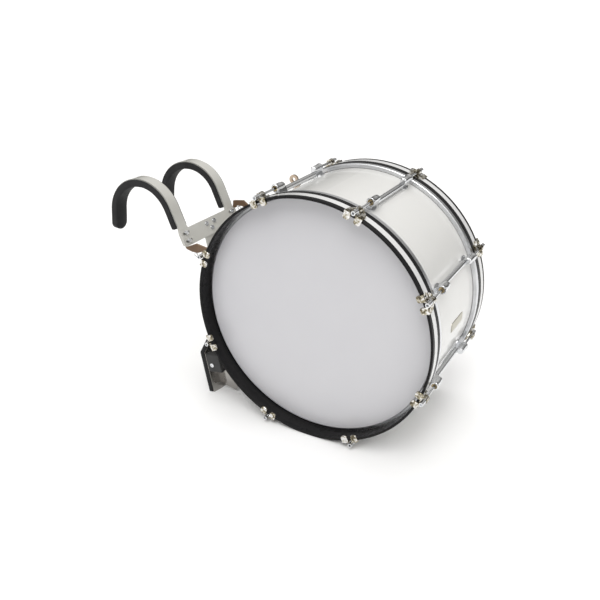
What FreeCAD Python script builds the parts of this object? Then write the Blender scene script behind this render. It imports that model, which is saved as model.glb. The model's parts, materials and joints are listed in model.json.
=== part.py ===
import FreeCAD, Part
import math
import os
from FreeCAD import Vector

# Marching bass drum, 24 x 12 inch, hooked on its shoulder carrier.
# Millimetres. The drum's axis runs along Y, front head towards -Y, player and carrier towards -X.
# Every part is drawn about the centre of the drum and moved to the row frame when it is saved:
# there Z = 0 is the floor under the hoops and X = 0 is half way between the drum's far side
# and the back of the shoulder arms.

# ---- driving dimensions of the drum ----
SHELL_RADIUS = 304.8            # 24 inch shell
SHELL_WALL = 7.5
BEARING_EDGE = 152.0            # half of the 12 inch depth, where the head rests
HEAD_FILM = 0.5
FLESH_HOOP_INNER = 306.0
FLESH_HOOP_OUTER = 316.0
FLESH_HOOP_START = 133.0
HOOP_START = 146.0              # where the counter-hoop presses on the flesh hoop
HOOP_WIDTH = 45.5
HOOP_RADIUS = 317.0
HOOP_THICKNESS = 6.0
INLAY_START = 162.1
INLAY_WIDTH = 18.6
INLAY_DEPTH = 0.6
LUG_COUNT = 8
LUG_STEP = 360.0 / LUG_COUNT
FIRST_LUG = LUG_STEP / 2.0

ROD_AXIS = 325.0                # distance of every tension rod from the drum's axis
ROD_RADIUS = 3.0
ROD_CLEARANCE = 0.08
ROD_HEAD_RADIUS = 6.2
ROD_HEAD_START = 182.4
ROD_HEAD_END = 201.0
ROD_TIP = 90.0
LUG_END = 113.0                 # open mouth of the lug's bell, from the drum's middle
LUG_BELL_START = 74.0
LUG_TUBE_AXIS = 314.0
LUG_TUBE_RADIUS = 6.5

# ---- driving dimensions of the carrier ----
PLATE = 4.0                     # thickness of the carrier's flat bars
GAP = 0.25                      # between bars that slide on each other
CARRIER_TILT = 22.0             # lean of the crossbar and the arm roots
CROSSBAR_X = -413.0             # a point on the crossbar's front face
CROSSBAR_Z = 139.0
CROSSBAR_TOP = 13.0
CROSSBAR_BOTTOM = -33.0
CROSSBAR_HALF = 126.0
ARM_Y = 105.0
ARM_WIDTH = 33.0
ARM_ROOT_WIDTH = 42.0           # where the arm is bolted behind the crossbar
ARM_ROOT_TOP = 4.0              # full width up to here, on the crossbar's scale
ARM_ROOT_TAPER = 22.0           # and down to the arm's own width here
ARM_BEND = 108.0                # outer radius of the front half of the bend over the shoulder
ARM_BACK_BEND = 113.0           # outer radius of the rear half
ARM_BACK_ANGLE = 8.0            # the straight end leans away from the player's back
ARM_BEND_HEIGHT = 76.3          # from the crossbar's reference point up to the bend
ARM_LEG = 36.5                  # straight run down the player's back, to the rounded tip
PAD_THICKNESS = 18.5
PAD_WIDTH = 43.0
ARM_BOLT_HEIGHTS = (1.0, -21.0)
ARM_TRAVEL = 11.0               # width adjustment each way
BOLT = 3.0                      # radius of the M6 carrier bolts
SPINE_TILT = 10.0               # lean of the spine and the belly plate, the other way
SPINE_WIDTH = 70.0
SPINE_LENGTH = 180.0
KNEE_HEIGHT = -38.0             # where the spine bends, on the crossbar's scale
BAR_WIDTH = 46.0
BAR_TOP = 44.0                  # distances down the spine, from its knee
BAR_BOTTOM = 412.0
CLAMP_LEVELS = (118.0, 158.0)
HEIGHT_UP = 10.0                # slot left above and below the two clamp bolts
HEIGHT_DOWN = 60.0
BELLY_HALF = 141.0
BELLY_PANEL_HALF = 110.0
BELLY_WING_ANGLE = 12.0
BELLY_THICKNESS = 2.5
BELLY_TOP = 255.0
BELLY_SHOULDER = 300.0
BELLY_PAD_THICKNESS = 15.0
HOOK_Y = 122.5                  # the carrier's hooks hold the upper player-side tension rods
HOOK_WIDTH = 7.0
HOOK_MOUTH = 3.7
HOOK_LEAN = 30.0                # the hooks' mouths lean this far towards the drum
EYE_ANGLE = -30.0
EYE_Y = 42.0
EYE_AXIS = 323.6
EYE_HOLE = 5.5
EYE_RADIUS = 12.0
BADGE_ANGLE = 91.6
BADGE_Y = 10.0

ORIGIN = Vector(0, 0, 0)
Y_AXIS = Vector(0, 1, 0)
Z_AXIS = Vector(0, 0, 1)
LUG_ANGLES = [FIRST_LUG + LUG_STEP * k for k in range(LUG_COUNT)]


# ---- helpers ----
def turned(shape, degrees):
    """Turn a shape about the drum's axis; 0 is the top and positive angles go towards +X."""
    copy = shape.copy()
    copy.rotate(ORIGIN, Y_AXIS, degrees)
    return copy


def mirrored(shape):
    """The same shape on the other head's side."""
    return shape.mirror(ORIGIN, Y_AXIS)


def polygon(points):
    return Part.Face(Part.makePolygon([Vector(*p) for p in points] + [Vector(*points[0])]))


def ring(profile, start=0.0, sweep=360.0):
    """Turn a closed (radius, y) profile about the drum's axis."""
    face = polygon([(0, y, radius) for radius, y in profile])
    solid = face.revolve(ORIGIN, Y_AXIS, sweep)
    return turned(solid, start)


def rod(radius, y0, y1, height, x=0.0):
    """A cylinder along the drum's axis direction."""
    return Part.makeCylinder(radius, y1 - y0, Vector(x, y0, height), Y_AXIS)


def cone(radius0, radius1, y0, y1, height, x=0.0):
    return Part.makeCone(radius0, radius1, y1 - y0, Vector(x, y0, height), Y_AXIS)


def block(x0, x1, y0, y1, z0, z1):
    return Part.makeBox(x1 - x0, y1 - y0, z1 - z0, Vector(x0, y0, z0))


def fused(shapes):
    return shapes[0].multiFuse(shapes[1:]).removeSplitter()


def outline_prism(points, z0, z1):
    """Extrude a flat (x, y) outline upwards."""
    return polygon([(x, y, z0) for x, y in points]).extrude(Vector(0, 0, z1 - z0))


def side_profile(points, y0, y1):
    """Extrude an (x, z) outline along Y."""
    return polygon([(x, y0, z) for x, z in points]).extrude(Vector(0, y1 - y0, 0))


def around_drum(shape):
    """Eight copies, one at each lug."""
    return [turned(shape, angle) for angle in LUG_ANGLES]


# ---- the two leaning planes of the carrier ----
def on_crossbar(out, up):
    """World (x, z) of a point that is `out` towards the drum and `up` along the crossbar's face."""
    lean = math.radians(CARRIER_TILT)
    x = CROSSBAR_X + out * math.cos(lean) - up * math.sin(lean)
    z = CROSSBAR_Z + out * math.sin(lean) + up * math.cos(lean)
    return x, z


KNEE = on_crossbar(-PLATE, KNEE_HEIGHT)


def on_spine(out, down):
    """World (x, z) of a point `out` towards the drum and `down` along the spine from its knee."""
    lean = math.radians(SPINE_TILT)
    x = KNEE[0] + out * math.cos(lean) + down * math.sin(lean)
    z = KNEE[1] + out * math.sin(lean) - down * math.cos(lean)
    return x, z


def crossbar_box(out0, out1, y0, y1, up0, up1):
    corners = [(out0, up0), (out1, up0), (out1, up1), (out0, up1)]
    return side_profile([on_crossbar(*c) for c in corners], y0, y1)


def spine_box(out0, out1, y0, y1, down0, down1):
    corners = [(out0, down0), (out1, down0), (out1, down1), (out0, down1)]
    return side_profile([on_spine(*c) for c in corners], y0, y1)


def crossbar_pin(radius, out0, out1, y, up):
    x, z = on_crossbar(out0, up)
    lean = math.radians(CARRIER_TILT)
    return Part.makeCylinder(radius, out1 - out0, Vector(x, y, z), Vector(math.cos(lean), 0, math.sin(lean)))


def spine_pin(radius, out0, out1, y, down):
    x, z = on_spine(out0, down)
    lean = math.radians(SPINE_TILT)
    return Part.makeCylinder(radius, out1 - out0, Vector(x, y, z), Vector(math.cos(lean), 0, math.sin(lean)))


ARM_CENTRE = on_crossbar(-PLATE - GAP - ARM_BEND, ARM_BEND_HEIGHT)
LEG_LEAN = math.radians(ARM_BACK_ANGLE)
REACH = ARM_BACK_BEND * math.cos(LEG_LEAN) + (ARM_LEG + ARM_WIDTH / 2) * math.sin(LEG_LEAN) - ARM_CENTRE[0]
DRUM_X = (REACH - HOOP_RADIUS) / 2.0
PLACE = Vector(DRUM_X, 0, HOOP_RADIUS)


def save(name, solids):
    """Move the finished solids to the row frame and write them as one node."""
    shape = solids[0] if len(solids) == 1 else Part.makeCompound(solids)
    moved = shape.copy()
    moved.translate(PLACE)
    moved.exportStep("parts/%s.step" % name)


# ---- drum shell, heads and hoops ----
def make_shell():
    inner = SHELL_RADIUS - SHELL_WALL
    peak = SHELL_RADIUS - 2.0
    bevel = peak - 0.8 - inner
    top = BEARING_EDGE
    profile = [
        (inner, -top + bevel), (peak - 0.8, -top), (peak, -top), (SHELL_RADIUS, -top + 2.0),
        (SHELL_RADIUS, top - 2.0), (peak, top), (peak - 0.8, top), (inner, top - bevel),
    ]
    shell = ring(profile)
    start = Vector(0, LUG_SCREW_Y, inner - SHELL_WALL / 2)
    hole = Part.makeCylinder(LUG_SCREW_HOLE, 2 * SHELL_WALL, start, Z_AXIS)
    holes = around_drum(hole) + around_drum(mirrored(hole))
    return shell.cut(Part.makeCompound(holes))


def make_head():
    side = SHELL_RADIUS + 0.4
    top = BEARING_EDGE
    skirt = FLESH_HOOP_START + 2
    points = [
        (0, top), (side - 2.0, top), (side - 0.8, top - 0.8), (side, top - 2.4),
        (side, skirt), (side + HEAD_FILM, skirt), (side + HEAD_FILM, top - 2.2),
        (side - 0.5, top - 0.4), (side - 1.8, top + HEAD_FILM), (0, top + HEAD_FILM),
    ]
    return ring(points)


def make_flesh_hoop():
    edge = 1.5
    y0 = FLESH_HOOP_START
    y1 = HOOP_START
    profile = [
        (FLESH_HOOP_INNER, y0), (FLESH_HOOP_OUTER - edge, y0), (FLESH_HOOP_OUTER, y0 + edge),
        (FLESH_HOOP_OUTER, y1), (FLESH_HOOP_INNER, y1),
    ]
    return ring(profile)


def make_hoop():
    inner = HOOP_RADIUS - HOOP_THICKNESS
    y0 = HOOP_START
    y1 = HOOP_START + HOOP_WIDTH
    groove = HOOP_RADIUS - INLAY_DEPTH
    bevel = 1.0
    profile = [
        (inner + bevel, y0), (HOOP_RADIUS - bevel, y0), (HOOP_RADIUS, y0 + bevel),
        (HOOP_RADIUS, INLAY_START), (groove, INLAY_START), (groove, INLAY_START + INLAY_WIDTH),
        (HOOP_RADIUS, INLAY_START + INLAY_WIDTH), (HOOP_RADIUS, y1 - bevel),
        (HOOP_RADIUS - bevel, y1), (inner + bevel, y1), (inner, y1 - bevel), (inner, y0 + bevel),
    ]
    return ring(profile)


def make_inlay():
    groove = HOOP_RADIUS - INLAY_DEPTH
    y0 = INLAY_START
    y1 = INLAY_START + INLAY_WIDTH
    return ring([(groove, y0), (HOOP_RADIUS, y0), (HOOP_RADIUS, y1), (groove, y1)])


# ---- lugs: a bell at each end of a slim tube, screwed to the shell from inside ----
LUG_SCREW_Y = 92.0
LUG_SCREW_RADIUS = 2.5
LUG_SCREW_HOLE = 2.6
LUG_BORE = 7.2
FOOT_HALF = 12.0
FOOT_HEIGHT = 3.0


def make_lug_end():
    bell = [
        (0, LUG_BELL_START), (6.2, LUG_BELL_START), (8.4, LUG_BELL_START + 4), (9.2, LUG_BELL_START + 14),
        (9.4, LUG_END - 10), (10.4, LUG_END - 3), (10.4, LUG_END - 1), (9.6, LUG_END), (0, LUG_END),
    ]
    face = polygon([(0, y, ROD_AXIS + radius) for radius, y in bell])
    body = face.revolve(Vector(0, 0, ROD_AXIS), Y_AXIS, 360)
    stem = block(-6.2, 6.2, LUG_BELL_START, LUG_END - 6, SHELL_RADIUS - 1, ROD_AXIS - 4)
    foot_plan = []
    for step in range(12):
        angle = 2 * math.pi * step / 12
        foot_plan.append((FOOT_HALF * math.cos(angle), LUG_SCREW_Y + 3 + 20.5 * math.sin(angle)))
    foot = outline_prism(foot_plan, SHELL_RADIUS - 2, SHELL_RADIUS + FOOT_HEIGHT)
    solid = fused([body, stem, foot])
    solid = solid.cut(rod(SHELL_RADIUS, 0, 2 * SHELL_RADIUS, 0))
    solid = solid.cut(rod(LUG_BORE, LUG_BELL_START + 10, LUG_END + 1, ROD_AXIS))
    depth = 9.0
    start = Vector(0, LUG_SCREW_Y, SHELL_RADIUS - 1)
    return solid.cut(Part.makeCylinder(LUG_SCREW_HOLE, depth, start, Z_AXIS))


def make_lug_tube():
    half = LUG_BELL_START
    outer = rod(LUG_TUBE_RADIUS, -half, half, LUG_TUBE_AXIS)
    return outer.cut(rod(LUG_TUBE_RADIUS - 1.5, -half, half, LUG_TUBE_AXIS))


def make_swivel_nut():
    nut = rod(LUG_BORE - 0.1, LUG_BELL_START + 10.5, LUG_END - 9, ROD_AXIS)
    return nut.cut(rod(ROD_RADIUS + ROD_CLEARANCE, 0, LUG_END, ROD_AXIS))


def make_lug_screw():
    inner = SHELL_RADIUS - SHELL_WALL
    washer = Part.makeCylinder(8.0, 1.5, Vector(0, LUG_SCREW_Y, inner - 2.4), Z_AXIS)
    head = Part.makeCylinder(4.5, 3.5, Vector(0, LUG_SCREW_Y, inner - 5.9), Z_AXIS)
    shank_length = SHELL_WALL + 2.4 + 7.0
    shank = Part.makeCylinder(LUG_SCREW_RADIUS, shank_length, Vector(0, LUG_SCREW_Y, inner - 2.4), Z_AXIS)
    return fused([head, washer, shank])


# ---- claws, washers and tension rods ----
CLAW_LIFT = 0.2
CLAW_PLATE = 3.2
CLAW_TAB_INNER = 5.2
CLAW_TAB_OUTER = 22.8
CLAW_TAB_DROP = 16.0            # the two front lobes reach this far inside the hoop's outer face
CLAW_TAB_RISE = 2.8
CLAW_FRONT = 195.2
CLAW_LOBE = 8.0
CLAW_LOBE_SINK = 3.0
CLAW_LOBE_OFFSET = 14.0
BOSS_START = 166.0
BOSS_END = 181.0
HOOP_FACE = HOOP_START + HOOP_WIDTH


def make_claw_tab(side):
    """One rounded lobe of the claw, on the hoop's front face."""
    x0, x1 = sorted((side * CLAW_TAB_INNER, side * CLAW_TAB_OUTER))
    low = HOOP_RADIUS - CLAW_TAB_DROP
    high = HOOP_RADIUS + CLAW_TAB_RISE
    tab = block(x0, x1, HOOP_FACE, CLAW_FRONT, low, high)
    along = [e for e in tab.Edges if abs(e.Length - (CLAW_FRONT - HOOP_FACE)) < 0.01]
    tab = tab.makeFillet(6.0, [e for e in along if e.CenterOfMass.z < HOOP_RADIUS - 5])
    along = [e for e in tab.Edges if abs(e.Length - (CLAW_FRONT - HOOP_FACE)) < 0.01]
    tab = tab.makeFillet(2.5, [e for e in along if e.CenterOfMass.z > high - 0.1])
    front = [e for e in tab.Edges if abs(e.CenterOfMass.y - CLAW_FRONT) < 0.01]
    return tab.makeFillet(1.4, front)


def make_claw():
    inner = HOOP_RADIUS + CLAW_LIFT
    saddle_ring = ring([(inner, 151), (inner + CLAW_PLATE, 151), (inner + CLAW_PLATE, CLAW_FRONT),
                        (inner, CLAW_FRONT)], -7, 14)
    plan = [(-23, CLAW_FRONT), (-23, 182), (-20, 170), (-12, 158), (-7, 152),
            (7, 152), (12, 158), (20, 170), (23, 182), (23, CLAW_FRONT)]
    saddle = saddle_ring.common(outline_prism(plan, HOOP_RADIUS - 10, HOOP_RADIUS + 10))
    pieces = [saddle]
    for side in (-1, 1):
        lobe_level = inner - CLAW_LOBE_SINK
        pieces.append(cone(3.0, CLAW_LOBE, 157, HOOP_FACE + 1, lobe_level, side * CLAW_LOBE_OFFSET))
        pieces.append(make_claw_tab(side))
    pieces.append(rod(8.0, BOSS_START, BOSS_END, ROD_AXIS))
    pieces.append(block(-8, 8, BOSS_START, BOSS_END, inner, ROD_AXIS))
    solid = fused(pieces)
    hoop_space = rod(inner, 100, HOOP_FACE, 0)
    solid = solid.cut(hoop_space)
    head_space = rod(ROD_HEAD_RADIUS + 0.9, BOSS_END, 210, ROD_AXIS)
    front_gap = block(-CLAW_TAB_INNER, CLAW_TAB_INNER, HOOP_FACE - 0.5, 210, 290, ROD_AXIS)
    solid = solid.cut(head_space).cut(front_gap)
    return solid.cut(rod(ROD_RADIUS + ROD_CLEARANCE, 100, 210, ROD_AXIS))


def make_rod_washer():
    washer = rod(6.0, BOSS_END, ROD_HEAD_START - 0.2, ROD_AXIS)
    return washer.cut(rod(ROD_RADIUS + ROD_CLEARANCE, 100, 210, ROD_AXIS))


def make_tension_rod():
    shank = rod(ROD_RADIUS, ROD_TIP, ROD_HEAD_START + 1, ROD_AXIS)
    flange = rod(ROD_HEAD_RADIUS, ROD_HEAD_START, ROD_HEAD_START + 3, ROD_AXIS)
    neck = rod(ROD_HEAD_RADIUS - 1.0, ROD_HEAD_START + 3, ROD_HEAD_END, ROD_AXIS)
    solid = fused([shank, flange, neck])
    key = 2.7
    socket = block(-key, key, ROD_HEAD_END - 7, ROD_HEAD_END + 1, ROD_AXIS - key, ROD_AXIS + key)
    return solid.cut(socket)


# ---- small fittings on the shell ----
def make_badge():
    half_y = 40.0
    half_arc = 11.5
    corner = 2.0
    lift = 1.2
    plan = [
        (-half_arc, -half_y + corner), (-half_arc + corner, -half_y),
        (half_arc - corner, -half_y), (half_arc, -half_y + corner),
        (half_arc, half_y - corner), (half_arc - corner, half_y),
        (-half_arc + corner, half_y), (-half_arc, half_y - corner),
    ]
    plate = outline_prism(plan, SHELL_RADIUS - 5, SHELL_RADIUS + 5)
    skin = ring([(SHELL_RADIUS, -half_y), (SHELL_RADIUS + lift, -half_y),
                 (SHELL_RADIUS + lift, half_y), (SHELL_RADIUS, half_y)], -8, 16)
    badge = plate.common(skin)
    badge.translate(Vector(0, BADGE_Y, 0))
    return turned(badge, BADGE_ANGLE)


def make_sling_eye():
    half = 3.5
    loop = rod(EYE_RADIUS, -half, half, EYE_AXIS)
    stem = block(-6, 6, -half, half, SHELL_RADIUS - 1, EYE_AXIS)
    base = Part.makeCylinder(11, 4, Vector(0, 0, SHELL_RADIUS - 1), Z_AXIS)
    eye = fused([loop, stem, base]).cut(rod(EYE_HOLE, -half - 1, half + 1, EYE_AXIS))
    eye = eye.cut(rod(SHELL_RADIUS, -50, 50, 0))
    eye.translate(Vector(0, EYE_Y, 0))
    return turned(eye, EYE_ANGLE)


# ---- carrier: shoulder arms with pads ----
def on_back_bend(radius, degrees):
    """World (x, z) on the rear half of the arm's bend; 180 degrees points straight back."""
    angle = math.radians(degrees)
    x = ARM_CENTRE[0] + radius * math.cos(angle)
    z = ARM_CENTRE[1] + ARM_BEND - ARM_BACK_BEND + radius * math.sin(angle)
    return x, z


def arm_strip(inset, thickness, root_up, leg, y0, y1):
    """A bar that rises from the crossbar, bends over the shoulder and runs down the back."""
    lean = math.radians(CARRIER_TILT)
    cx, cz = ARM_CENTRE
    front_middle = (lean + math.pi / 2) / 2
    end_angle = 180.0 - ARM_BACK_ANGLE
    back_middle = (90.0 + end_angle) / 2
    drop = ARM_BEND_HEIGHT - root_up
    down = Vector(math.sin(lean), 0, -math.cos(lean)) * drop
    along = Vector(-math.sin(LEG_LEAN), 0, -math.cos(LEG_LEAN)) * leg

    def front(layer, angle):
        radius = ARM_BEND - layer
        return Vector(cx + radius * math.cos(angle), y0, cz + radius * math.sin(angle))

    def back(layer, degrees):
        x, z = on_back_bend(ARM_BACK_BEND - layer, degrees)
        return Vector(x, y0, z)

    edges = []
    ends = []
    for layer in (inset, inset + thickness):
        root = front(layer, lean) + down
        tip = back(layer, end_angle) + along
        rise = Part.makeLine(root, front(layer, lean))
        over = Part.Arc(front(layer, lean), front(layer, front_middle), front(layer, math.pi / 2))
        behind = Part.Arc(front(layer, math.pi / 2), back(layer, back_middle), back(layer, end_angle))
        fall = Part.makeLine(back(layer, end_angle), tip)
        edges += [rise, over.toShape(), behind.toShape(), fall]
        ends.append((root, tip))
    edges.append(Part.makeLine(ends[0][0], ends[1][0]))
    edges.append(Part.makeLine(ends[0][1], ends[1][1]))
    outline = Part.Wire(Part.__sortEdges__(edges))
    return Part.Face(outline).extrude(Vector(0, y1 - y0, 0))


def rounded_tip(inset, thickness, leg, radius):
    """Half disc that closes the lower end of the arm or of its pad."""
    x, z = on_back_bend(ARM_BACK_BEND - inset, 180.0 - ARM_BACK_ANGLE)
    x -= leg * math.sin(LEG_LEAN)
    z -= leg * math.cos(LEG_LEAN)
    inward = Vector(math.cos(LEG_LEAN), 0, -math.sin(LEG_LEAN))
    along = Vector(-math.sin(LEG_LEAN), 0, -math.cos(LEG_LEAN))
    disc = Part.makeCylinder(radius, thickness, Vector(x, ARM_Y, z), inward)
    start = Vector(x, ARM_Y - radius - 1, z) - inward
    across = inward * (thickness + 2)
    down = along * (radius + 1)
    corners = [start, start + across, start + across + down, start + down]
    lower = polygon([tuple(corner) for corner in corners]).extrude(Vector(0, 2 * radius + 2, 0))
    return disc.common(lower)


def make_arm_root():
    """Wider plate at the foot of the arm, where the two bolts pass."""
    out = -PLATE - GAP
    half = ARM_WIDTH / 2
    root_half = ARM_ROOT_WIDTH / 2
    outline = [
        (-root_half, CROSSBAR_BOTTOM + 2), (root_half, CROSSBAR_BOTTOM + 2), (root_half, ARM_ROOT_TOP),
        (half, ARM_ROOT_TAPER), (-half, ARM_ROOT_TAPER), (-root_half, ARM_ROOT_TOP),
    ]
    points = []
    for y, up in outline:
        x, z = on_crossbar(out - PLATE, up)
        points.append((x, ARM_Y + y, z))
    lean = math.radians(CARRIER_TILT)
    root = polygon(points).extrude(Vector(math.cos(lean), 0, math.sin(lean)) * PLATE)
    low = [e for e in root.Edges if abs(e.Length - PLATE) < 0.01]
    low = sorted(low, key=lambda e: e.CenterOfMass.z)[:2]
    return root.makeFillet(8.0, low)


def make_arm():
    half = ARM_WIDTH / 2
    strip = arm_strip(0, PLATE, ARM_ROOT_TOP, ARM_LEG, ARM_Y - half, ARM_Y + half)
    arm = fused([strip, rounded_tip(0, PLATE, ARM_LEG, half), make_arm_root()])
    for up in ARM_BOLT_HEIGHTS:
        arm = arm.cut(crossbar_pin(BOLT + 0.2, -40, 5, ARM_Y, up))
    return arm


def make_arm_pad():
    half = PAD_WIDTH / 2
    leg = ARM_LEG + 3
    strip = arm_strip(PLATE, PAD_THICKNESS, CROSSBAR_TOP + 7, leg, ARM_Y - half, ARM_Y + half)
    return fused([strip, rounded_tip(PLATE, PAD_THICKNESS, leg, half)])


def bolt_through(pin, out_back, out_front, y, place, gap):
    """Bolt with a low round head and washer in front, and a hexagon nut and washer behind."""
    head = pin(5.2, out_front + gap + 1.2, out_front + gap + 4.4, y, place)
    washer = pin(6.4, out_front + gap, out_front + gap + 1.2, y, place)
    shank = pin(BOLT, out_back - 8.5, out_front + gap + 2, y, place)
    nut = pin(5.6, out_back - 6.2, out_back - 1.2, y, place)
    back_washer = pin(6.4, out_back - 1.2, out_back, y, place)
    socket = pin(1.8, out_front + gap + 2.4, out_front + gap + 6, y, place)
    return fused([head, washer, shank, nut, back_washer]).cut(socket)


def make_arm_bolts():
    back = -2 * PLATE - GAP
    return [bolt_through(crossbar_pin, back, 0, ARM_Y, up, GAP) for up in ARM_BOLT_HEIGHTS]


# ---- carrier: crossbar, spine and height bar ----
def slot_cut(pin, box, out0, out1, y0, y1, place0, place1, radius):
    """A slot with round ends, along Y or along the bar."""
    ends = [pin(radius, out0, out1, y0, place0), pin(radius, out0, out1, y1, place1)]
    if place0 == place1:
        middle = box(out0, out1, y0, y1, place0 - radius, place0 + radius)
    else:
        middle = box(out0, out1, y0 - radius, y0 + radius, place0, place1)
    return fused([ends[0], ends[1], middle])


CENTRE_BOLTS = ((-16.5, 0.0), (16.5, 0.0), (0.0, -15.5))


def make_crossbar():
    bar = crossbar_box(-PLATE, 0, -CROSSBAR_HALF, CROSSBAR_HALF, CROSSBAR_BOTTOM, CROSSBAR_TOP)
    corner = [e for e in bar.Edges if abs(e.Length - PLATE) < 0.01]
    bar = bar.makeFillet(5.0, corner)
    for side in (-1, 1):
        ends = sorted((side * (ARM_Y - ARM_TRAVEL), side * (ARM_Y + ARM_TRAVEL)))
        for up in ARM_BOLT_HEIGHTS:
            slot = slot_cut(crossbar_pin, crossbar_box, -10, 5, ends[0], ends[1], up, up, BOLT + 0.4)
            bar = bar.cut(slot)
    for y, up in CENTRE_BOLTS:
        bar = bar.cut(crossbar_pin(BOLT + 0.1, -10, 5, y, up))
    return bar


def make_spine():
    half = SPINE_WIDTH / 2
    top = on_crossbar(-PLATE, CROSSBAR_TOP - 4)
    top_back = on_crossbar(-2 * PLATE, CROSSBAR_TOP - 4)
    knee_back = on_spine(-PLATE, 0.3)
    low = on_spine(0, SPINE_LENGTH)
    low_back = on_spine(-PLATE, SPINE_LENGTH)
    plate = side_profile([top, KNEE, low, low_back, knee_back, top_back], -half, half)
    corner = [e for e in plate.Edges if abs(e.Length - PLATE) < 0.05 and e.CenterOfMass.z < 0]
    plate = plate.makeFillet(12.0, corner)
    for y, up in CENTRE_BOLTS:
        plate = plate.cut(crossbar_pin(BOLT + 0.1, -20, 5, y, up))
    for level in CLAMP_LEVELS:
        plate = plate.cut(spine_pin(BOLT + ROD_CLEARANCE, -20, 20, 0, level))
    return plate


def make_centre_bolts():
    return [bolt_through(crossbar_pin, -2 * PLATE, 0, y, up, 0) for y, up in CENTRE_BOLTS]


BAR_BACK = GAP
BAR_FRONT = GAP + PLATE
PLATE_SCREW_LEVELS = (275.0, 380.0)


def make_height_bar():
    half = BAR_WIDTH / 2
    bar = spine_box(BAR_BACK, BAR_FRONT, -half, half, BAR_TOP, BAR_BOTTOM - 12)
    corner = [e for e in bar.Edges if abs(e.Length - PLATE) < 0.01]
    bar = bar.makeFillet(9.0, corner)
    start = CLAMP_LEVELS[0] - HEIGHT_DOWN
    end = CLAMP_LEVELS[1] + HEIGHT_UP
    bar = bar.cut(slot_cut(spine_pin, spine_box, -5, 15, 0, 0, start, end, BOLT + 0.5))
    for level in PLATE_SCREW_LEVELS:
        bar = bar.cut(spine_pin(BOLT + 0.1, -5, 15, 0, level))
    return bar


def make_wing_bolt(level):
    """Clamp bolt with a wing nut on the drum's side; its square neck sits behind the spine."""
    face = BAR_FRONT + GAP
    shank = spine_pin(BOLT, -PLATE - 1.5, face + 15, 0, level)
    head = spine_pin(6.5, -PLATE - 4.0, -PLATE - 0.3, 0, level)
    washer = spine_pin(8.0, face, face + 1.5, 0, level)
    hub = spine_pin(5.5, face + 1.5, face + 10, 0, level)
    pieces = [shank, head, washer, hub]
    for side in (-1, 1):
        wing_y0, wing_y1 = sorted((side * 3.0, side * 16.0))
        pieces.append(spine_box(face + 4, face + 14, wing_y0, wing_y1, level - 1.4, level + 1.4))
    return fused(pieces)


# ---- carrier: belly plate, its pad and the drum rests ----
def belly_section(out_shift, thickness, half):
    """Plan section of the belly plate at one level: a flat panel with two wings bent back."""
    bend = math.radians(BELLY_WING_ANGLE)
    reach = half - BELLY_PANEL_HALF
    back = reach * math.tan(bend)
    front = [(out_shift - back, -half), (out_shift, -BELLY_PANEL_HALF),
             (out_shift, BELLY_PANEL_HALF), (out_shift - back, half)]
    rear = [(out - thickness, y) for out, y in reversed(front)]
    return front + rear


def belly_sheet(out_shift, thickness, half, top, shoulder, bottom):
    """Bent sheet with chamfered upper corners, standing along the spine's lean."""
    points = belly_section(out_shift, thickness, half)
    lower = []
    for out, y in points:
        x, z = on_spine(out, bottom)
        lower.append((x, y, z))
    upper_point = on_spine(0, top)
    base_point = on_spine(0, bottom)
    rise = Vector(upper_point[0] - base_point[0], 0, upper_point[1] - base_point[1])
    sheet = polygon(lower).extrude(rise)
    shoulder_half = half - 52
    outline = [(-half - 1, bottom + 1), (half + 1, bottom + 1), (half + 1, shoulder),
               (shoulder_half, top - 1), (-shoulder_half, top - 1), (-half - 1, shoulder)]
    face_points = []
    for y, down in outline:
        x, z = on_spine(-120, down)
        face_points.append((x, y, z))
    lean = math.radians(SPINE_TILT)
    keep = polygon(face_points).extrude(Vector(math.cos(lean), 0, math.sin(lean)) * 240)
    return sheet.common(keep)


def floor_cut(shape):
    """Trim a shape at floor level, where the hoops stand."""
    return shape.cut(block(-600, 0, -300, 300, -HOOP_RADIUS - 100, -HOOP_RADIUS))


def make_belly_plate():
    plate = belly_sheet(BAR_BACK, BELLY_THICKNESS, BELLY_HALF, BELLY_TOP, BELLY_SHOULDER, 440)
    plate = floor_cut(plate)
    for level in PLATE_SCREW_LEVELS:
        plate = plate.cut(spine_pin(BOLT + 0.1, -20, 20, 0, level))
    return plate


NUT_POCKET = 6.5                # pockets in the pad's back, over the plate's two nuts


def make_belly_pad():
    back = BAR_BACK - BELLY_THICKNESS
    pad = belly_sheet(back, BELLY_PAD_THICKNESS, BELLY_HALF + 2, BELLY_TOP - 2, BELLY_SHOULDER - 2, 440)
    pad = floor_cut(pad)
    for level in PLATE_SCREW_LEVELS:
        pad = pad.cut(spine_pin(7.5, back - NUT_POCKET, back + 1, 0, level))
    return pad


def make_plate_screws():
    screws = []
    for level in PLATE_SCREW_LEVELS:
        head = spine_pin(5.2, BAR_FRONT, BAR_FRONT + 3.0, 0, level)
        shank = spine_pin(BOLT, BAR_BACK - BELLY_THICKNESS - 5.0, BAR_FRONT + 1, 0, level)
        nut = spine_pin(5.6, BAR_BACK - BELLY_THICKNESS - 4.5, BAR_BACK - BELLY_THICKNESS, 0, level)
        screws.append(fused([head, shank, nut]))
    return screws


REST_Y = 110.0
REST_SHEET = 2.5
REST_FLANGE = 20.0
REST_LEVELS = (285.0, 408.0)
REST_FRONT_LOW = (-281.0, -311.0)
REST_NOSE_LOW = (-231.0, -212.0)
REST_NOSE_HIGH = (-261.0, -172.0)
BUMPER_ANGLE = -127.7


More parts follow.
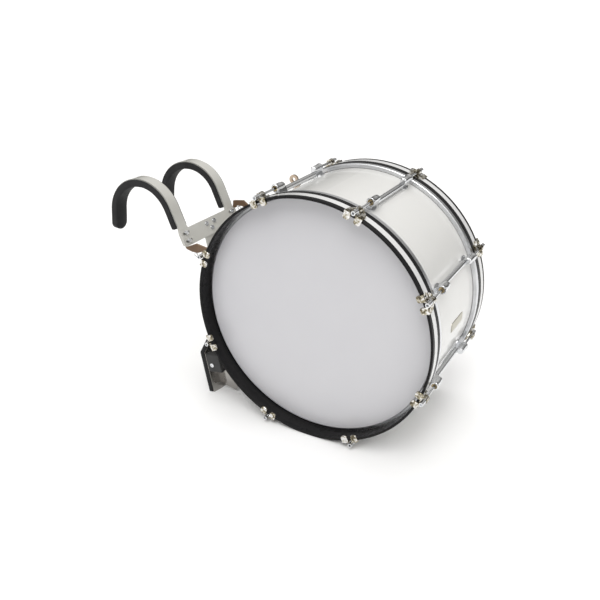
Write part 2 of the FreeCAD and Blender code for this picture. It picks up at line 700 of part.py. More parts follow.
def make_rest():
    """Bent bracket: a flange on the belly plate and an ear that reaches for the shell."""
    face = BAR_BACK
    root_high = on_spine(face, REST_LEVELS[0])
    root_low = on_spine(face, REST_LEVELS[1])
    ear = side_profile([root_low, REST_FRONT_LOW, REST_NOSE_LOW, REST_NOSE_HIGH, root_high],
                       REST_Y - REST_SHEET, REST_Y)
    flange = spine_box(face, face + REST_SHEET, REST_Y - REST_FLANGE, REST_Y - 0.5, *REST_LEVELS)
    bracket = fused([ear, flange])
    for level in (310.0, 385.0):
        bracket = bracket.cut(spine_pin(2.1, -5, 20, REST_Y - 11, level))
    return bracket


def make_rest_bumper():
    """Rubber nose between the ear's edge and the shell."""
    inner = SHELL_RADIUS + 0.5
    nose = block(-25, 25, REST_Y - 10, REST_Y + 8, inner, inner + 14)
    outer_edges = [e for e in nose.Edges if e.CenterOfMass.z > inner + 13]
    nose = turned(nose.makeFillet(3.0, outer_edges), BUMPER_ANGLE)
    slit_points = [REST_FRONT_LOW, REST_NOSE_LOW, REST_NOSE_HIGH, on_spine(BAR_BACK, REST_LEVELS[0])]
    slit = side_profile(slit_points, REST_Y - REST_SHEET, REST_Y)
    return nose.cut(slit)


REST_BLOCK_OUT = 40.0           # height of the block above the belly plate
REST_BLOCK_DEPTH = 33.0         # along the drum's axis
REST_BLOCK_LEVELS = (303.0, 358.0)
REST_SCREW_OUT = 12.0
REST_SCREW_LEVEL = 336.0


def make_rest_block():
    """Moulded block beside the ear; its back follows the bent edge of the belly plate."""
    clear = BAR_BACK + 0.6
    back = clear - REST_BLOCK_DEPTH * math.tan(math.radians(BELLY_WING_ANGLE))
    section = [(clear, REST_Y), (REST_BLOCK_OUT, REST_Y),
               (REST_BLOCK_OUT, REST_Y + REST_BLOCK_DEPTH), (back, REST_Y + REST_BLOCK_DEPTH)]
    high, low = REST_BLOCK_LEVELS
    points = []
    for out, y in section:
        x, z = on_spine(out, low)
        points.append((x, y, z))
    top = on_spine(0, high)
    base = on_spine(0, low)
    body = polygon(points).extrude(Vector(top[0] - base[0], 0, top[1] - base[1]))
    edges = [e for e in body.Edges if abs(e.CenterOfMass.y - REST_Y - REST_BLOCK_DEPTH) < 0.1]
    return body.makeFillet(2.5, edges)


def make_rest_screw():
    x, z = on_spine(REST_SCREW_OUT, REST_SCREW_LEVEL)
    y = REST_Y + REST_BLOCK_DEPTH
    head = Part.makeCylinder(6.0, 2.4, Vector(x, y, z), Y_AXIS)
    return head.cut(Part.makeCylinder(1.9, 3, Vector(x, y + 0.8, z), Y_AXIS))


def make_rest_rivets():
    rivets = []
    for level in (310.0, 385.0):
        head = spine_pin(4.2, BAR_BACK + REST_SHEET, BAR_BACK + REST_SHEET + 1.8, REST_Y - 11, level)
        shank = spine_pin(2.0, BAR_BACK, BAR_BACK + REST_SHEET + 1, REST_Y - 11, level)
        rivets.append(fused([head, shank]))
    return rivets


# ---- carrier: hooks that hold the upper tension rods ----
HOOK_LUG_ANGLE = -FIRST_LUG - LUG_STEP


def hook_rod_centre():
    angle = math.radians(HOOK_LUG_ANGLE)
    return ROD_AXIS * math.sin(angle), ROD_AXIS * math.cos(angle)


HOOK_RING_X = -372.0            # the ring screw under the front hook
HOOK_FLAT_Z = 98.8
REAR_RING_X = -397.0            # and under the rear hook
REAR_FLAT_Z = 155.0


def near_rod(side, along):
    """World (x, z) beside the held rod, along the direction in which it leaves the hook."""
    rx, rz = hook_rod_centre()
    lean = math.radians(HOOK_LEAN)
    x = rx + side * math.cos(lean) + along * math.sin(lean)
    z = rz - side * math.sin(lean) + along * math.cos(lean)
    return x, z


def hook_plate(root, underside):
    """Thick hook with an open mouth for the rod, from its root on the crossbar."""
    rx, rz = hook_rod_centre()
    jaw = [
        near_rod(-9.5, 5.5), near_rod(-6.5, 7.5), near_rod(-HOOK_MOUTH, 5.5), near_rod(HOOK_MOUTH, 5.5),
        near_rod(HOOK_MOUTH + 3.5, 5.5), near_rod(HOOK_MOUTH + 4.5, -4), near_rod(1, -9.5),
    ]
    plate = side_profile(root + jaw + underside, HOOK_Y - HOOK_WIDTH / 2, HOOK_Y + HOOK_WIDTH / 2)
    seat = rod(HOOK_MOUTH, HOOK_Y - 20, HOOK_Y + 20, rz, rx)
    mouth_points = [near_rod(-HOOK_MOUTH, 0), near_rod(HOOK_MOUTH, 0),
                    near_rod(HOOK_MOUTH, 12), near_rod(-HOOK_MOUTH, 12)]
    mouth = side_profile(mouth_points, HOOK_Y - 20, HOOK_Y + 20)
    return plate.cut(seat).cut(mouth)


def make_front_hook():
    """Fixed under the crossbar; drawn on the rear side and mirrored."""
    root = [on_crossbar(-3, CROSSBAR_BOTTOM), on_crossbar(0, CROSSBAR_BOTTOM), (-369.0, 122.5),
            (-338.0, 117.0), near_rod(-9.5, -2)]
    underside = [(-340.0, 108.0), (-363.0, HOOK_FLAT_Z), (-381.0, HOOK_FLAT_Z), (-398.0, 103.0)]
    return hook_plate(root, underside)


def make_rear_hook():
    """Fixed to the top of the crossbar's front face, from where it reaches over and down."""
    root = [on_crossbar(0, CROSSBAR_TOP - 4.8), on_crossbar(0, CROSSBAR_TOP), (-415.5, 167.5),
            (-381.4, 171.9), (-372.0, 165.0), (-345.0, 143.0)]
    underside = [(-340.0, 124.0), (-376.0, 152.5), (-386.0, REAR_FLAT_Z),
                 (-404.0, REAR_FLAT_Z), (-408.0, 147.5)]
    return hook_plate(root, underside)


def make_hook_ring(x, z):
    """Ring-headed screw that hangs below the hook."""
    collar = Part.makeCylinder(2.6, 2.4, Vector(x, HOOK_Y, z - 2.4), Z_AXIS)
    eye = Part.makeTorus(5.0, 1.3, Vector(x, HOOK_Y, z - 8.0), Y_AXIS)
    return fused([collar, eye])


def main():
    os.makedirs("parts", exist_ok=True)
    both_ends = {"rear": lambda s: s, "front": mirrored}

    save("shell", [make_shell()])
    save("lug_tubes", around_drum(make_lug_tube()))
    lug_end = make_lug_end()
    save("lug_ends_front", around_drum(mirrored(lug_end)))
    save("lug_ends_rear", around_drum(lug_end))
    nut = make_swivel_nut()
    save("swivel_nuts", around_drum(nut) + around_drum(mirrored(nut)))
    screw = make_lug_screw()
    save("lug_screws", around_drum(screw) + around_drum(mirrored(screw)))
    save("badge_plate", [make_badge()])
    save("sling_eye", [make_sling_eye()])

    claw = make_claw()
    washer = make_rod_washer()
    tension_rod = make_tension_rod()
    for end, flip in both_ends.items():
        save("head_" + end, [flip(make_head())])
        save("flesh_hoop_" + end, [flip(make_flesh_hoop())])
        save("hoop_" + end, [flip(make_hoop())])
        save("hoop_inlay_" + end, [flip(make_inlay())])
        save("claws_" + end, around_drum(flip(claw)))
        save("rod_washers_" + end, around_drum(flip(washer)))
        for number, piece in enumerate(around_drum(flip(tension_rod)), 1):
            save("tension_rod_%s_%d" % (end, number), [piece])

    save("crossbar", [make_crossbar()])
    save("spine_plate", [make_spine()])
    save("centre_bolts", make_centre_bolts())
    save("height_bar", [make_height_bar()])
    save("wing_bolt_upper", [make_wing_bolt(CLAMP_LEVELS[0])])
    save("wing_bolt_lower", [make_wing_bolt(CLAMP_LEVELS[1])])
    save("belly_plate", [make_belly_plate()])
    save("belly_pad", [make_belly_pad()])
    save("belly_plate_screws", make_plate_screws())
    save("drum_rests", [make_rest(), mirrored(make_rest())])
    save("rest_bumpers", [make_rest_bumper(), mirrored(make_rest_bumper())])
    save("rest_blocks", [make_rest_block(), mirrored(make_rest_block())])
    save("rest_screws", [make_rest_screw(), mirrored(make_rest_screw())])
    rivets = make_rest_rivets()
    save("rest_rivets", rivets + [mirrored(r) for r in rivets])
    for end, flip in both_ends.items():
        save("shoulder_arm_" + end, [flip(make_arm())])
        save("shoulder_pad_" + end, [flip(make_arm_pad())])
        save("arm_bolts_" + end, [flip(b) for b in make_arm_bolts()])
    save("carrier_hook_front", [mirrored(make_front_hook())])
    save("carrier_hook_rear", [make_rear_hook()])
    save("hook_screw_front", [mirrored(make_hook_ring(HOOK_RING_X, HOOK_FLAT_Z))])
    save("hook_screw_rear", [make_hook_ring(REAR_RING_X, REAR_FLAT_Z)])


main()
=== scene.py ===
import bmesh
import bpy
import json
import math
import random
from mathutils import Matrix, Vector


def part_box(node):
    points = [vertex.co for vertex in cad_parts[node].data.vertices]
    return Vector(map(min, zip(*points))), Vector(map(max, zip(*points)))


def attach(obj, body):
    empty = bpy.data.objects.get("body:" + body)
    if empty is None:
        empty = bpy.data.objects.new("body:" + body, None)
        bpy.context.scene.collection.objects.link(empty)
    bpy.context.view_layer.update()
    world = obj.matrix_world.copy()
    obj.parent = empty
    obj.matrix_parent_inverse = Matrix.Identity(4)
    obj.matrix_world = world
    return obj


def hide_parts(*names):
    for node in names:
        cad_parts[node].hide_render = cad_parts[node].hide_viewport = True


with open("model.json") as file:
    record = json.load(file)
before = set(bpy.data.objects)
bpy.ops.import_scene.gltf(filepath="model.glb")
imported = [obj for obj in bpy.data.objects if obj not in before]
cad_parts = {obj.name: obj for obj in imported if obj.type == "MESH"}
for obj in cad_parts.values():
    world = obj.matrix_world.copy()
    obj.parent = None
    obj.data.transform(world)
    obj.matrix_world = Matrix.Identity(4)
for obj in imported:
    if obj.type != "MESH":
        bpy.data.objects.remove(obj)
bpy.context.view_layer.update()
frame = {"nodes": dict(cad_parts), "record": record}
NODES = frame["nodes"]

# ---- places taken from the CAD frame, in metres ----
MM = 0.001
hoop_lo, hoop_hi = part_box("hoop_front")
DRUM = Vector(((hoop_lo.x + hoop_hi.x) / 2, 0.0, (hoop_lo.z + hoop_hi.z) / 2))


# ---------------------------------------------------------------- node helpers
class Mat:
    """A small builder for one node-based material."""

    def __init__(self, name):
        self.mat = bpy.data.materials.new(name)
        self.mat.use_nodes = True
        self.tree = self.mat.node_tree
        self.bsdf = self.tree.nodes["Principled BSDF"]
        self.coord = self.tree.nodes.new("ShaderNodeTexCoord")

    def set(self, **values):
        for key, value in values.items():
            self.bsdf.inputs[key.replace("_", " ")].default_value = value
        return self

    def node(self, kind, **values):
        made = self.tree.nodes.new("ShaderNode" + kind)
        for key, value in values.items():
            if key in made.inputs.keys():
                made.inputs[key].default_value = value
            else:
                setattr(made, key, value)
        return made

    def link(self, a, out, b, into):
        self.tree.links.new(a.outputs[out], b.inputs[into])

    def mapped(self, scale):
        mapping = self.node("Mapping")
        mapping.inputs["Scale"].default_value = scale
        self.link(self.coord, "Object", mapping, "Vector")
        return mapping

    def noise(self, scale, detail=4.0, rough=0.55, stretch=(1, 1, 1)):
        tex = self.node("TexNoise", Scale=scale, Detail=detail, Roughness=rough)
        self.link(self.mapped(stretch), "Vector", tex, "Vector")
        return tex

    def ramp(self, source, out, stops):
        ramp = self.node("ValToRGB")
        elements = ramp.color_ramp.elements
        while len(elements) < len(stops):
            elements.new(0.5)
        for element, (position, color) in zip(elements, stops):
            element.position = position
            element.color = color if len(color) == 4 else (*color, 1.0)
        self.link(source, out, ramp, "Fac")
        return ramp

    def colour(self, source, out, stops):
        ramp = self.ramp(source, out, stops)
        self.link(ramp, "Color", self.bsdf, "Base Color")
        return ramp

    def rough(self, source, out, low, high):
        span = self.node("MapRange")
        span.inputs["To Min"].default_value = low
        span.inputs["To Max"].default_value = high
        self.link(source, out, span, "Value")
        self.link(span, "Result", self.bsdf, "Roughness")
        return span

    def bump(self, source, out, distance, strength=1.0, below=None):
        bump = self.node("Bump", Distance=distance, Strength=strength)
        self.link(source, out, bump, "Height")
        if below is not None:
            self.link(below, "Normal", bump, "Normal")
        self.link(bump, "Normal", self.bsdf, "Normal")
        return bump


def gloss_white(name, tint):
    m = Mat(name)
    m.set(Coat_Weight=0.6, Coat_Roughness=0.05, Specular_IOR_Level=0.5)
    cloud = m.noise(3.5, 3.0)
    dark = tuple(c * 0.965 for c in tint)
    m.colour(cloud, "Fac", [(0.3, dark), (0.7, tint)])
    m.rough(m.noise(28.0, 4.0), "Fac", 0.16, 0.28)
    peel = m.noise(420.0, 2.0)
    wave = m.noise(9.0, 2.0)
    m.bump(peel, "Fac", 0.00004, 0.5, m.bump(wave, "Fac", 0.0006, 0.25))
    return m.mat


def head_film():
    m = Mat("head_film")
    m.set(Coat_Weight=0.25, Coat_Roughness=0.18, Specular_IOR_Level=0.45)
    cloud = m.noise(2.2, 3.0)
    m.colour(cloud, "Fac", [(0.3, (0.605, 0.603, 0.632)), (0.7, (0.64, 0.638, 0.66))])
    m.rough(m.noise(14.0, 4.0), "Fac", 0.30, 0.42)
    m.bump(m.noise(900.0, 2.0), "Fac", 0.00003, 0.5)
    return m.mat


def black_lacquer():
    m = Mat("black_lacquer")
    m.set(Specular_IOR_Level=0.12, IOR=1.32)
    grain = m.noise(6.0, 6.0, 0.6, (1.0, 14.0, 1.0))
    m.colour(grain, "Fac", [(0.3, (0.012, 0.012, 0.013)), (0.75, (0.022, 0.021, 0.021))])
    m.rough(m.noise(40.0, 4.0), "Fac", 0.20, 0.36)
    m.bump(m.noise(350.0, 2.0), "Fac", 0.00005, 0.5)
    return m.mat


def chrome(name="chrome", tint=(0.86, 0.87, 0.89), low=0.05, high=0.16):
    m = Mat(name)
    m.set(Metallic=1.0)
    smear = m.noise(22.0, 5.0, 0.6)
    dull = tuple(c * 0.86 for c in tint)
    m.colour(smear, "Fac", [(0.25, dull), (0.6, tint)])
    m.rough(m.noise(70.0, 5.0, 0.65), "Fac", low, high)
    m.bump(m.noise(160.0, 3.0), "Fac", 0.00012, 0.35)
    return m.mat


def brushed(name, tint, stretch, low=0.22, high=0.42):
    m = Mat(name)
    m.set(Metallic=1.0)
    lines = m.noise(60.0, 6.0, 0.7, stretch)
    dull = tuple(c * 0.82 for c in tint)
    m.colour(lines, "Fac", [(0.3, dull), (0.7, tint)])
    m.rough(lines, "Fac", low, high)
    m.bump(lines, "Fac", 0.00006, 0.4)
    return m.mat


def foam():
    m = Mat("black_foam")
    m.set(Specular_IOR_Level=0.28, Sheen_Weight=0.08, Sheen_Roughness=0.5)
    cells = m.node("TexVoronoi", Scale=900.0)
    m.link(m.mapped((1, 1, 1)), "Vector", cells, "Vector")
    patch = m.noise(30.0, 4.0)
    m.colour(patch, "Fac", [(0.3, (0.010, 0.010, 0.011)), (0.75, (0.024, 0.024, 0.025))])
    m.rough(patch, "Fac", 0.72, 0.9)
    m.bump(cells, "Distance", 0.0004, 0.55, m.bump(m.noise(60.0, 3.0), "Fac", 0.0008, 0.3))
    return m.mat


def moulded(name, low=(0.012, 0.012, 0.012), high=(0.03, 0.03, 0.03), rough=(0.4, 0.6)):
    m = Mat(name)
    grain = m.noise(260.0, 3.0)
    m.colour(m.noise(25.0, 4.0), "Fac", [(0.3, low), (0.7, high)])
    m.rough(grain, "Fac", *rough)
    m.bump(grain, "Fac", 0.00015, 0.5)
    return m.mat


MATERIALS = {
    "white_wrap": gloss_white("white_wrap", (0.72, 0.717, 0.70)),
    "white_film": head_film(),
    "black_lacquer": black_lacquer(),
    "white_inlay": gloss_white("white_inlay", (0.72, 0.72, 0.72)),
    "satin_aluminium": brushed("satin_aluminium", (0.80, 0.81, 0.83), (1.0, 30.0, 1.0)),
    "chrome": chrome("chrome", (0.74, 0.75, 0.765), 0.10, 0.26),
    "steel": brushed("zinc_steel", (0.62, 0.62, 0.63), (1.0, 1.0, 8.0)),
    "brass_nut": brushed("brass_nut", (0.75, 0.58, 0.32), (6.0, 1.0, 1.0)),
    "white_paint": gloss_white("white_paint", (0.515, 0.508, 0.475)),
    "black_foam": foam(),
    "black_rubber": moulded("black_rubber", rough=(0.6, 0.8)),
    "black_plastic": moulded("black_plastic"),
    "brown_rubber": moulded("brown_rubber", (0.10, 0.055, 0.028), (0.17, 0.10, 0.052), (0.35, 0.55)),
    "silver_plate": brushed("silver_plate", (0.50, 0.48, 0.40), (1.0, 12.0, 1.0)),
}


def cast_chrome():
    """Chrome over a rough casting: wavy, with painted reflections: dark brown and beige patches in its
    colour.
    """
    m = Mat("cast_chrome")
    m.set(Metallic=1.0)
    patch = m.noise(120.0, 3.0, 0.6)
    # painted reflections: this ramp's dark brown to light patches stand in for surroundings mirrored in the
    # chrome
    m.colour(patch, "Fac", [(0.38, (0.10, 0.085, 0.06)), (0.46, (0.36, 0.32, 0.22)),
                            (0.53, (0.62, 0.60, 0.56)), (0.66, (0.86, 0.86, 0.86))])
    m.rough(m.noise(60.0, 4.0), "Fac", 0.03, 0.14)
    m.bump(m.noise(75.0, 2.0), "Fac", 0.0014, 0.9)
    return m.mat


CAST_CHROME = cast_chrome()
# painted reflection: this chrome's dark, warm tint stands in for the dark brown surroundings mirrored in
# the belly plate and drum rests
SHEET_CHROME = chrome("sheet_chrome", (0.40, 0.385, 0.365), 0.06, 0.18)
# painted reflection: this chrome's brown tint stands in for the brown surroundings mirrored in the sling
# eye
BROWN_REFLECTION_CHROME = chrome("brown_reflection_chrome", (0.50, 0.40, 0.31), 0.12, 0.26)
SPECIAL = {
    "claws_front": CAST_CHROME, "claws_rear": CAST_CHROME,
    "belly_plate": SHEET_CHROME, "drum_rests": SHEET_CHROME,
    "sling_eye": BROWN_REFLECTION_CHROME,
}

for part in frame["record"]["subparts"]:
    obj = NODES[part["node"]]
    obj.data.materials.clear()
    obj.data.materials.append(SPECIAL.get(part["node"]) or MATERIALS[part["material_slot"]])


# ---------------------------------------------------------------- soft pieces
SEED = 7
FOAM_FILL = 0.9                                          # fill share handed to finish_mesh with each pad
FOAM_WAVE = 0.35 * MM                                    # unevenness of the foam's skin
SIDE_EDGE = 2.0 * MM                                     # depth of the pads' rounded lips
ROOT_ROUND = 5.0 * MM                                    # rounding of the pad's front end
TIP_FALL = 5.5 * MM                                      # thinning of the pad at its rounded tip
TIP_START = 0.72                                         # where that thinning starts, of the tip's radius
ARM_CENTRE = Vector((-545.66, 0.0, 167.69)) * MM        # centre of the arm's bend, from the drum's centre
ARM_Y = 105.0 * MM
ARM_LEAN = math.radians(22.0)
LEG_LEAN = math.radians(8.0)
STRAP_INNER = 104.0 * MM                                 # front half of the bend, under the strap
STRAP_INNER_BACK = 109.0 * MM
BACK_DROP = 5.0 * MM
BEND_HEIGHT = 76.3 * MM
PAD_ROOT = 20.0 * MM
PAD_LEG = 39.5 * MM
PAD_HALF = 21.5 * MM
PAD_THICK = 18.5 * MM
PAD_CROWN = 1.6 * MM
PAD_CORNER = 6.0 * MM
STRAP_HALF = 16.9 * MM
KNEE = Vector((-402.47, 0.0, 102.27)) * MM
SPINE_LEAN = math.radians(10.0)


def pad_path(step=2.0 * MM):
    """Stations along the underside of the strap: (point, inward normal, distance past the tip's centre)."""
    stations = []
    up = Vector((-math.sin(ARM_LEAN), 0, math.cos(ARM_LEAN)))
    inward = Vector((-math.cos(ARM_LEAN), 0, -math.sin(ARM_LEAN)))
    start = ARM_CENTRE - inward * STRAP_INNER
    rise = BEND_HEIGHT - PAD_ROOT
    count = int(rise / step)
    for i in range(count):
        stations.append((start - up * rise * (1 - i / count), inward, None))
    count = int(math.radians(68) * STRAP_INNER / step)
    for i in range(count):
        angle = ARM_LEAN + (math.pi / 2 - ARM_LEAN) * i / count
        out = Vector((math.cos(angle), 0, math.sin(angle)))
        stations.append((ARM_CENTRE + out * STRAP_INNER, -out, None))
    centre = ARM_CENTRE - Vector((0, 0, BACK_DROP))
    sweep = math.pi / 2 - LEG_LEAN
    count = int(sweep * STRAP_INNER_BACK / step)
    for i in range(count):
        angle = math.pi / 2 + sweep * i / count
        out = Vector((math.cos(angle), 0, math.sin(angle)))
        stations.append((centre + out * STRAP_INNER_BACK, -out, None))
    out = Vector((-math.cos(LEG_LEAN), 0, math.sin(LEG_LEAN)))
    down = Vector((-math.sin(LEG_LEAN), 0, -math.cos(LEG_LEAN)))
    foot = centre + out * STRAP_INNER_BACK
    count = int(PAD_LEG / step)
    for i in range(count):
        stations.append((foot + down * PAD_LEG * i / count, -out, None))
    tip = foot + down * PAD_LEG
    tip_steps = 22
    for i in range(tip_steps + 1):
        past = PAD_HALF * math.sin(math.pi / 2 * i / tip_steps)
        stations.append((tip + down * past, -out, past))
    return stations


def pad_section(half, thick, edge):
    """Closed outline (across, depth): lips beside the strap, soft corners and a crowned face."""
    lip = min(SIDE_EDGE, edge)
    strap = min(STRAP_HALF, half * 0.8)
    crown = PAD_CROWN * min(1.0, thick / PAD_THICK)
    corner = min(PAD_CORNER, half * 0.5, thick * 0.45)
    points = []
    for i in range(9):
        points.append((strap * (2 * i / 8 - 1), 0.0))
    points.append((strap + (half - strap) * 0.35, -lip * 0.75))
    points.append((strap + (half - strap) * 0.75, -lip))
    points.append((half, -lip * 0.25))
    for i in range(3):
        points.append((half, (thick - corner) * (0.25 + 0.35 * i)))
    for i in range(6):
        turn = math.pi / 2 * i / 5
        points.append((half - corner + corner * math.cos(turn), thick - corner + corner * math.sin(turn)))
    flat = half - corner
    for i in range(1, 12):
        across = flat * (1 - 2 * i / 12)
        points.append((across, thick + crown * (1 - (across / flat) ** 2)))
    for i in range(6):
        turn = math.pi / 2 * (1 - i / 5)
        points.append((-half + corner - corner * math.cos(turn), thick - corner + corner * math.sin(turn)))
    for i in (2, 1, 0):
        points.append((-half, (thick - corner) * (0.25 + 0.35 * i)))
    points.append((-half, -lip * 0.25))
    points.append((-strap - (half - strap) * 0.75, -lip))
    points.append((-strap - (half - strap) * 0.35, -lip * 0.75))
    return points


def finish_mesh(name, verts, faces, material, body, fill, slot, *nodes):
    mesh = bpy.data.meshes.new(name)
    mesh.from_pydata(verts, [], faces)
    work = bmesh.new()
    work.from_mesh(mesh)
    bmesh.ops.remove_doubles(work, verts=work.verts, dist=0.00001)
    bmesh.ops.recalc_face_normals(work, faces=work.faces)
    work.to_mesh(mesh)
    work.free()
    mesh.polygons.foreach_set("use_smooth", [True] * len(mesh.polygons))
    piece = bpy.data.objects.new(name, mesh)
    bpy.context.scene.collection.objects.link(piece)
    mesh.materials.append(MATERIALS[material])
    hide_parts(*nodes)
    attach(piece, body)
    return piece


def wander(rng, count=5, longest=0.12, shortest=0.03):
    """A smooth random surface height in -1..1 as a function of two distances."""
    waves = []
    while len(waves) < count:
        waves.append((rng.uniform(0, math.tau), rng.uniform(shortest, longest), rng.uniform(0, math.tau)))

    def height(a, b):
        total = 0.0
        for turn, length, phase in waves:
            total += math.sin(math.tau * (a * math.cos(turn) + b * math.sin(turn)) / length + phase)
        return total / count
    return height


def make_shoulder_pad(end, side):
    rng = random.Random(SEED + (side > 0))
    rough = wander(rng)
    path = pad_path()
    verts = []
    rings = []
    travelled = 0.0
    last = None
    for point, inward, past in path:
        if last is not None:
            travelled += (point - last).length
        last = point
        half, thick, edge = PAD_HALF, PAD_THICK, SIDE_EDGE
        if travelled < ROOT_ROUND:
            near = math.sqrt(1 - (1 - travelled / ROOT_ROUND) ** 2)
            thick = PAD_THICK - ROOT_ROUND * (1 - near)
            half = PAD_HALF - SIDE_EDGE * (1 - near)
            edge *= near
        if past is not None:
            near = math.sqrt(max(0.0, 1 - (past / PAD_HALF) ** 2))
            half = max(PAD_HALF * near, 0.4 * MM)
            fall = max(0.0, past - TIP_START * PAD_HALF) / ((1 - TIP_START) * PAD_HALF)
            thick = PAD_THICK - TIP_FALL * (1 - math.sqrt(max(0.0, 1 - fall * fall)))
            edge *= near
        ring = []
        for across, depth in pad_section(half, thick, edge):
            soft = FOAM_WAVE * rough(travelled, across) if depth > 0.5 * thick else 0.0
            place = point + inward * (depth + soft) + Vector((0, side * ARM_Y + across, 0)) + DRUM
            ring.append(len(verts))
            verts.append(place)
        rings.append(ring)
    faces = []
    count = len(rings[0])
    for a, b in zip(rings, rings[1:]):
        for i in range(count):
            j = (i + 1) % count
            faces.append((a[i], a[j], b[j], b[i]))
    for ring in (rings[0], rings[-1]):
        middle = sum((verts[i] for i in ring), Vector()) / count
        verts.append(middle)
        for i in range(count):
            faces.append((ring[i], ring[(i + 1) % count], len(verts) - 1))
    return finish_mesh("shoulder_foam_" + end, verts, faces, "black_foam", "shoulder_" + end, FOAM_FILL,
                       "black_foam", "shoulder_pad_" + end)


BELLY_TOP = 253.0 * MM
BELLY_SHOULDER = 298.0 * MM
BELLY_END = 422.2 * MM
BELLY_HALF = 143.0 * MM
BELLY_CHAMFER = 52.0 * MM
BELLY_PANEL = 110.0 * MM
BELLY_WING = math.tan(math.radians(12.0))
BELLY_BACK = -2.25 * MM
BELLY_THICK = 15.0 * MM
BELLY_EDGE = 5.0 * MM                                    # radius of its soft outer edge
BELLY_CROWN = 2.5 * MM
BELLY_WAVE = 0.3 * MM
BELLY_MIDDLE = 338.0 * MM
BELLY_REACH = 88.0 * MM                                  # from the middle to where the crown ends
BELLY_COLUMNS = 97
BELLY_ROWS = 65
BELLY_NUTS = (275.0 * MM, 380.0 * MM)
NUT_POCKET_RADIUS = 7.5 * MM
NUT_POCKET_SLOPE = 3.0 * MM
NUT_POCKET_DEPTH = 6.5 * MM


def on_spine(out, across, down):
    along = Vector((math.sin(SPINE_LEAN), 0, -math.cos(SPINE_LEAN)))
    away = Vector((math.cos(SPINE_LEAN), 0, math.sin(SPINE_LEAN)))
    return KNEE + DRUM + away * out + along * down + Vector((0, across, 0))


def edge_distance(across, down):
    """Distance from a point of the belly pad to its nearest edge."""
    across = abs(across)
    rise = BELLY_SHOULDER - BELLY_TOP
    length = math.hypot(rise, BELLY_CHAMFER)
    beside = (BELLY_HALF - across) * rise
    below = (down - BELLY_TOP) * BELLY_CHAMFER
    corner = (beside + below - rise * BELLY_CHAMFER) / length
    return max(0.0, min(BELLY_HALF - across, down - BELLY_TOP, BELLY_END - down, corner))


def spread(count):
    """Positions from -1 to 1, closer together near the ends."""
    return [math.sin(math.pi / 2 * (2 * i / (count - 1) - 1)) for i in range(count)]


def make_belly_foam():
    rng = random.Random(SEED + 5)
    rough = wander(rng)
    columns = spread(BELLY_COLUMNS)
    rows = [BELLY_TOP + (BELLY_END - BELLY_TOP) * (v + 1) / 2 for v in spread(BELLY_ROWS)]
    verts = []
    front = []
    back = []
    for down in rows:
        grow = min(1.0, (down - BELLY_TOP) / (BELLY_SHOULDER - BELLY_TOP))
        width = BELLY_HALF - BELLY_CHAMFER * (1 - grow)
        front_row = []
        back_row = []
        for u in columns:
            across = u * width
            wing = max(0.0, abs(across) - BELLY_PANEL) * BELLY_WING
            rest = BELLY_BACK - wing
            near = min(BELLY_EDGE, edge_distance(across, down))
            bevel = BELLY_EDGE - math.sqrt(BELLY_EDGE * BELLY_EDGE - (BELLY_EDGE - near) ** 2)
            middle = (1 - u * u) * (1 - ((down - BELLY_MIDDLE) / BELLY_REACH) ** 2)
            crown = BELLY_CROWN * max(0.0, middle)
            thick = BELLY_THICK - bevel + crown + BELLY_WAVE * rough(across, down)
            front_row.append(len(verts))
            verts.append(on_spine(rest - thick, across, down))
            nut = min(math.hypot(across, down - level) for level in BELLY_NUTS)
            slope = (NUT_POCKET_RADIUS + NUT_POCKET_SLOPE - nut) / NUT_POCKET_SLOPE
            pocket = NUT_POCKET_DEPTH * min(1.0, max(0.0, slope))
            back_row.append(len(verts))
            verts.append(on_spine(rest - pocket, across, down))
        front.append(front_row)
        back.append(back_row)
    faces = []
    for sheet in (front, back):
        for a, b in zip(sheet, sheet[1:]):
            for i in range(len(columns) - 1):
                faces.append((a[i], a[i + 1], b[i + 1], b[i]))
    last = len(columns) - 1
    for r in range(len(rows) - 1):
        for c in (0, last):
            faces.append((front[r][c], front[r + 1][c], back[r + 1][c], back[r][c]))
    for r in (0, len(rows) - 1):
        for c in range(last):
            faces.append((front[r][c], front[r][c + 1], back[r][c + 1], back[r][c]))
    return finish_mesh("belly_foam", verts, faces, "black_foam", "belly_support", FOAM_FILL,
                       "black_foam", "belly_pad")


make_shoulder_pad("front", -1)
make_shoulder_pad("rear", 1)
make_belly_foam()


# ---------------------------------------------------------------- stage, light and camera
def sun(name, come_from, power, spread_degrees):
    """A wide soft light from one direction, even over the whole floor."""
    light = bpy.data.lights.new(name, "SUN")
    light.energy = power
    light.angle = math.radians(spread_degrees)
    lamp = bpy.data.objects.new(name, light)
    lamp.rotation_euler = Vector(come_from).to_track_quat("Z", "Y").to_euler()
    bpy.context.scene.collection.objects.link(lamp)
    return lamp


FLOOR_HALF = 60.0


def make_floor():
    mesh = bpy.data.meshes.new("floor")
    half = FLOOR_HALF
    corners = [(-half, -half, 0), (half, -half, 0), (half, half, 0), (-half, half, 0)]
    mesh.from_pydata(corners, [], [(0, 1, 2, 3)])
    floor = bpy.data.objects.new("floor", mesh)
    bpy.context.scene.collection.objects.link(floor)
    m = Mat("pale_floor")
    m.set(Specular_IOR_Level=0.2)
    cloud = m.noise(1.5, 2.0)
    m.colour(cloud, "Fac", [(0.3, (0.90, 0.90, 0.90)), (0.7, (0.92, 0.92, 0.92))])
    m.rough(cloud, "Fac", 0.75, 0.85)
    mesh.materials.append(m.mat)
    return floor


WORLD_BANDS = [(0.0, 0.05), (0.12, 0.06), (0.30, 0.30), (0.55, 0.62), (1.0, 0.75)]     # (height, glow)
WORLD_STRENGTH = 0.9
WORLD_TINT = (1.0, 0.985, 0.955)


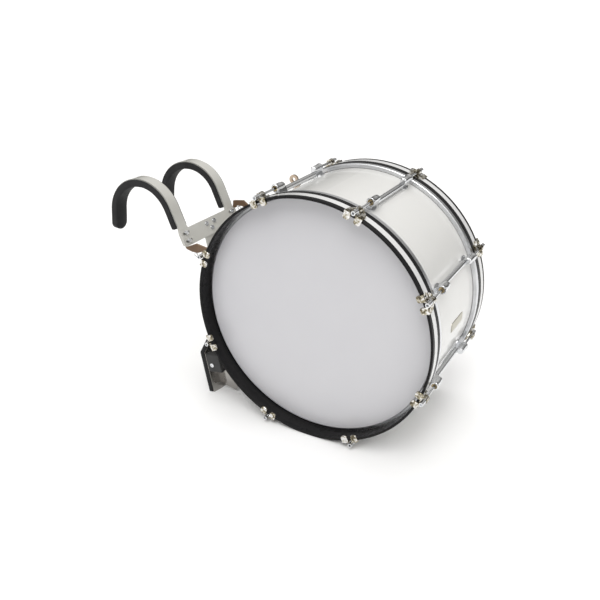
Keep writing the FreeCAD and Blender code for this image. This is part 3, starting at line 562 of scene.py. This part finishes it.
def make_world():
    world = bpy.data.worlds.new("studio")
    world.use_nodes = True
    tree = world.node_tree
    coord = tree.nodes.new("ShaderNodeTexCoord")
    split = tree.nodes.new("ShaderNodeSeparateXYZ")
    ramp = tree.nodes.new("ShaderNodeValToRGB")
    background = tree.nodes["Background"]
    tree.links.new(coord.outputs["Generated"], split.inputs["Vector"])
    tree.links.new(split.outputs["Z"], ramp.inputs["Fac"])
    tree.links.new(ramp.outputs["Color"], background.inputs["Color"])
    elements = ramp.color_ramp.elements
    while len(elements) < len(WORLD_BANDS):
        elements.new(0.5)
    for element, (height, glow) in zip(elements, WORLD_BANDS):
        element.position = height
        element.color = (*(glow * tint for tint in WORLD_TINT), 1)
    background.inputs["Strength"].default_value = WORLD_STRENGTH
    bpy.context.scene.world = world


CAMERA_PLACE = Vector((0.7262, -1.4565, 0.7562))         # from the drum's centre
CAMERA_AZIMUTH = math.radians(30.368)                     # to the right of the front head's axis
CAMERA_ELEVATION = math.radians(25.246)
CAMERA_ROLL = math.radians(-1.213)
CAMERA_SENSOR = 36.0
CAMERA_LENS = 41.28


def make_camera():
    level = Vector((math.cos(CAMERA_AZIMUTH), math.sin(CAMERA_AZIMUTH), 0))
    forward = Vector((-math.sin(CAMERA_AZIMUTH), math.cos(CAMERA_AZIMUTH), 0))
    back = Vector((0, 0, math.sin(CAMERA_ELEVATION))) - forward * math.cos(CAMERA_ELEVATION)
    lift = back.cross(level)
    right = level * math.cos(CAMERA_ROLL) + lift * math.sin(CAMERA_ROLL)
    up = lift * math.cos(CAMERA_ROLL) - level * math.sin(CAMERA_ROLL)
    camera = bpy.data.cameras.new("camera")
    camera.sensor_width = CAMERA_SENSOR
    camera.lens = CAMERA_LENS
    view = bpy.data.objects.new("camera", camera)
    turn = Matrix((right, up, back)).transposed()
    view.matrix_world = Matrix.Translation(DRUM + CAMERA_PLACE) @ turn.to_4x4()
    bpy.context.scene.collection.objects.link(view)
    bpy.context.scene.camera = view


make_floor()
make_world()
make_camera()
sun("key", (0.25, -0.95, 1.5), 1.5, 38)
sun("fill", (1.0, -0.05, 0.8), 0.42, 45)
sun("top", (-0.35, 0.3, 1.5), 1.0, 60)
bpy.context.scene.view_settings.view_transform = "Standard"
